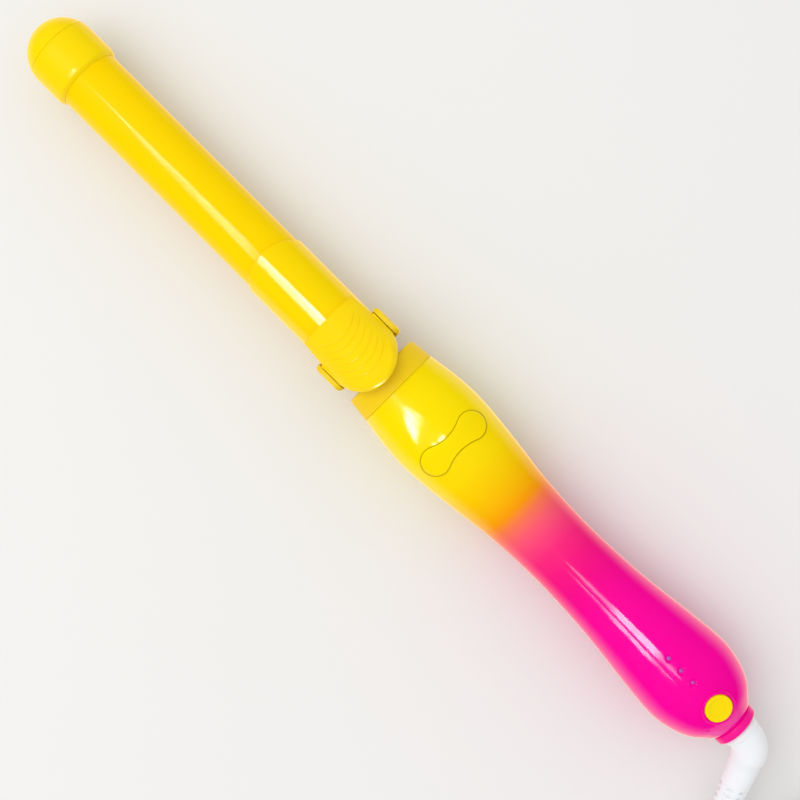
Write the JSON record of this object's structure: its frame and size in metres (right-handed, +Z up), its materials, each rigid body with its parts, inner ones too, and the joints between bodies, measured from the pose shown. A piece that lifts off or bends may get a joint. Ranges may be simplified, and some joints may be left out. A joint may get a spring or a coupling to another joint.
{
  "type": "curling iron",
  "caption": "Rotating curling iron: round barrel with a sprung clamp and thumb lever, waisted two-bulge handle with buttons, and a cord on a swivel.",
  "frame": {"origin": "middle of the footprint of the iron without its cord, on the surface that it lies on", "axes": "+X along the barrel towards the cool tip, +Z up through the buttons, +Y across to the side that the strain relief leans to"},
  "size_m": [0.5636, 0.1003, 0.0451],
  "materials": {
    "cool_tip": "satin yellow",
    "barrel_coat": "satin yellow coating",
    "clamp_metal": "glossy yellow lacquer",
    "lever_plastic": "soft matte yellow",
    "handle_shell": "glossy, fading from yellow through orange to hot pink",
    "end_pink": "glossy hot pink",
    "button_yellow": "satin yellow",
    "lens": "tinted clear",
    "white_rubber": "matte white",
    "cord_jacket": "satin white",
    "tie_black": "matte black",
    "blade_brass": "bright plated",
    "steel": "zinc plated",
    "gearbox_brass": "machined",
    "aluminium": "extruded",
    "ceramic": "ceramic-filled",
    "acetal": "natural acetal",
    "black_plastic": "moulded",
    "circuit_board": "solder mask",
    "led": "clear",
    "wire": "sleeved"
  },
  "bodies": {
    "handle": {"handle_top_shell": "handle_shell", "handle_bottom_shell": "handle_shell", "housing_screws": "steel", "nose_collar": "lever_plastic", "front_bearing": "acetal", "rear_bearing": "acetal", "motor_gearbox": "gearbox_brass", "motor_can": "steel", "brush_block": "black_plastic", "brushes": "black_plastic", "rocker_board": "circuit_board", "rocker_switches": "black_plastic", "rocker_bracket": "acetal", "main_board": "circuit_board", "board_screws": "steel", "capacitor": "black_plastic", "relay": "black_plastic", "control_chips": "black_plastic", "power_switch": "black_plastic", "switch_carrier": "acetal", "indicator_leds": "led", "indicator_lenses": "lens", "end_collar": "end_pink", "cord_socket": "acetal", "contact_springs": "blade_brass"},
    "barrel": {"tip_dome": "cool_tip", "tip_ring": "cool_tip", "tip_screw": "steel", "tip_plug": "ceramic", "barrel_tube": "barrel_coat", "heat_spreader_upper": "aluminium", "heat_spreader_lower": "aluminium", "ptc_heater": "ceramic", "thermal_fuse": "aluminium", "thermistor": "ceramic", "heater_leads": "wire", "barrel_base": "lever_plastic", "pivot_screws": "steel", "drive_shaft": "steel", "thrust_washer": "steel", "drive_gear": "acetal", "slip_ring_sleeve": "black_plastic", "slip_rings": "blade_brass", "retaining_clip": "steel", "clamp_spring": "steel"},
    "clamp": {"clamp_spoon": "clamp_metal", "thumb_lever": "lever_plastic", "lever_screws": "steel"},
    "motor_rotor": {"motor_shaft": "steel", "drive_pinion": "acetal"},
    "rocker": {"rocker_button": "handle_shell"},
    "power_key": {"power_button": "button_yellow"},
    "cord": {"strain_relief": "white_rubber", "swivel_contacts": "blade_brass", "cord_lead": "cord_jacket", "cord_coil": "cord_jacket", "cord_tail": "cord_jacket", "cord_tie": "tie_black", "plug_body": "white_rubber", "plug_blades": "blade_brass"}
  },
  "joints": [
    {"name": "barrel_spin", "type": "hinge", "parent": "handle", "child": "barrel", "pos_m": [0, 0, 0.02], "axis": [1, 0, 0], "continuous": true},
    {"name": "clamp_hinge", "type": "hinge", "parent": "barrel", "child": "clamp", "pos_m": [0.0158, 0.00035, 0.02499], "axis": [0, -0.9976, 0.0698], "range_deg": [0, 12], "stiffness_Nm_per_rad": 0.3, "springref_deg": -20.05, "deforming": ["clamp_spring"]},
    {"name": "motor_spin", "type": "hinge", "parent": "handle", "child": "motor_rotor", "pos_m": [0, 0, 0.00875], "axis": [1, 0, 0], "continuous": true},
    {"name": "rocker_tilt", "type": "hinge", "parent": "handle", "child": "rocker", "pos_m": [-0.0348, 0, 0.0342], "axis": [1, 0, 0], "range_deg": [-2.5, 2.5], "stiffness_Nm_per_rad": 0.4},
    {"name": "power_press", "type": "slide", "parent": "handle", "child": "power_key", "axis": [-0.309, 0, 0.9511], "range_m": [-0.0006, 0], "stiffness_N_per_m": 800, "springref_m": 0.0005},
    {"name": "cord_swivel", "type": "hinge", "parent": "handle", "child": "cord", "pos_m": [-0.1902, 0, 0.02], "axis": [1, 0, 0], "continuous": true}
  ],
  "couplings": [
    {"joint": "motor_spin", "follows": "barrel_spin", "ratio": -1.5}
  ]
}
